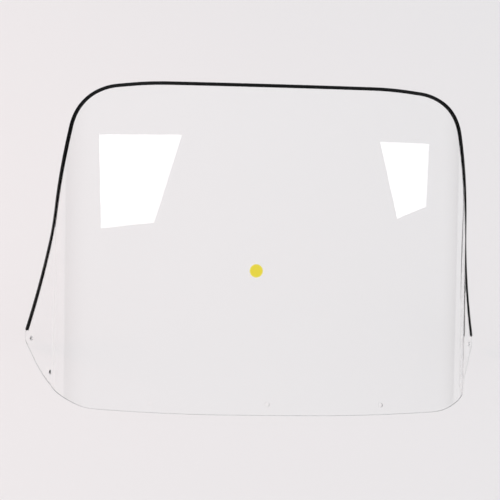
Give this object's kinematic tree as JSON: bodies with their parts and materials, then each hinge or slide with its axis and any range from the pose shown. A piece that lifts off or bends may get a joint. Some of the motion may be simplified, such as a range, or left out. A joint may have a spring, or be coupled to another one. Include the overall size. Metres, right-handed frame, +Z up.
{
  "type": "windshield screen",
  "caption": "Clear wrap-around windshield screen with swept-back side wings, black push-on edge trim, a round yellow sticker and screw holes along its lower edge.",
  "frame": {"origin": "middle screw hole of the bottom row, on the front face of the sheet", "axes": "+X across the screen, +Y towards the rider behind it, +Z up, with the sheet raked 36 degrees back"},
  "size_m": [0.6622, 0.2869, 0.3941],
  "materials": {
    "clear_polycarbonate": "clear, polished faces",
    "black_pvc": "satin to semi-gloss extruded PVC",
    "yellow_vinyl": "plain self-adhesive vinyl"
  },
  "bodies": {
    "root": {"windshield_panel": "clear_polycarbonate", "edge_trim": "black_pvc", "round_sticker": "yellow_vinyl"}
  },
  "joints": []
}
